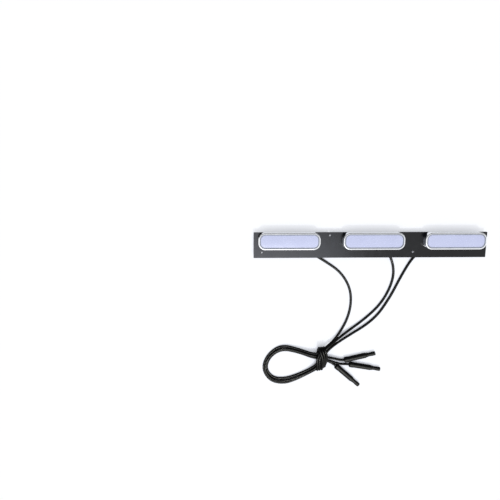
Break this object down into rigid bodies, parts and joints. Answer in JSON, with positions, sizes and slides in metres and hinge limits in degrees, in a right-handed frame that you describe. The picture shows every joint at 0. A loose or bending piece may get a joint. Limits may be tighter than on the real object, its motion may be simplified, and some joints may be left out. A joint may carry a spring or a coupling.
{
  "type": "grille light",
  "caption": "LED grille light bar: chrome-rimmed lamps with pale fluted lenses on a dark flat plate, each with its own black lead and inline connector, the leads tied in a knot.",
  "frame": {"origin": "centre of the bar's footprint on the surface it lies on, level with the backs of the outlet caps", "axes": "+X along the bar, +Y up the plate's face, +Z out of the lamps"},
  "size_m": [0.381, 0.2701, 0.0245],
  "materials": {
    "plate_paint": "glossy",
    "bezel_chrome": "polished",
    "lens_clear": "clear gloss",
    "diffuser_white": "satin",
    "reflector_white": "gloss",
    "board_white": "matte",
    "led_yellow": "satin",
    "seal_rubber": "matte",
    "housing_black": "satin",
    "screw_steel": "satin",
    "relief_rubber": "matte",
    "lead_sheath": "satin",
    "connector_black": "satin",
    "contact_brass": "polished"
  },
  "bodies": {
    "root": {"mounting_plate": "plate_paint", "lamp_1_bezel": "bezel_chrome", "lamp_1_lens": "lens_clear", "lamp_1_lens_seal": "seal_rubber", "lamp_1_diffuser": "diffuser_white", "lamp_1_reflector": "reflector_white", "lamp_1_led_board": "board_white", "lamp_1_leds": "led_yellow", "lamp_1_gasket": "seal_rubber", "lamp_1_rear_housing": "housing_black", "lamp_1_screws": "screw_steel", "lamp_1_outlet_cap": "housing_black", "lamp_1_strain_relief": "relief_rubber", "lamp_2_bezel": "bezel_chrome", "lamp_2_lens": "lens_clear", "lamp_2_lens_seal": "seal_rubber", "lamp_2_diffuser": "diffuser_white", "lamp_2_reflector": "reflector_white", "lamp_2_led_board": "board_white", "lamp_2_leds": "led_yellow", "lamp_2_gasket": "seal_rubber", "lamp_2_rear_housing": "housing_black", "lamp_2_screws": "screw_steel", "lamp_2_outlet_cap": "housing_black", "lamp_2_strain_relief": "relief_rubber", "lamp_3_bezel": "bezel_chrome", "lamp_3_lens": "lens_clear", "lamp_3_lens_seal": "seal_rubber", "lamp_3_diffuser": "diffuser_white", "lamp_3_reflector": "reflector_white", "lamp_3_led_board": "board_white", "lamp_3_leds": "led_yellow", "lamp_3_gasket": "seal_rubber", "lamp_3_rear_housing": "housing_black", "lamp_3_screws": "screw_steel", "lamp_3_outlet_cap": "housing_black", "lamp_3_strain_relief": "relief_rubber", "lead_1": "lead_sheath", "loop_1": "lead_sheath", "tail_1": "lead_sheath", "lead_2": "lead_sheath", "loop_2": "lead_sheath", "tail_2": "lead_sheath", "lead_3": "lead_sheath", "loop_3": "lead_sheath", "tail_3": "lead_sheath", "knot": "lead_sheath", "connector_1_grip": "connector_black", "connector_1_barrel": "connector_black", "connector_1_contacts": "contact_brass", "connector_2_grip": "connector_black", "connector_2_barrel": "connector_black", "connector_2_contacts": "contact_brass", "connector_3_grip": "connector_black", "connector_3_barrel": "connector_black", "connector_3_contacts": "contact_brass"}
  },
  "joints": []
}
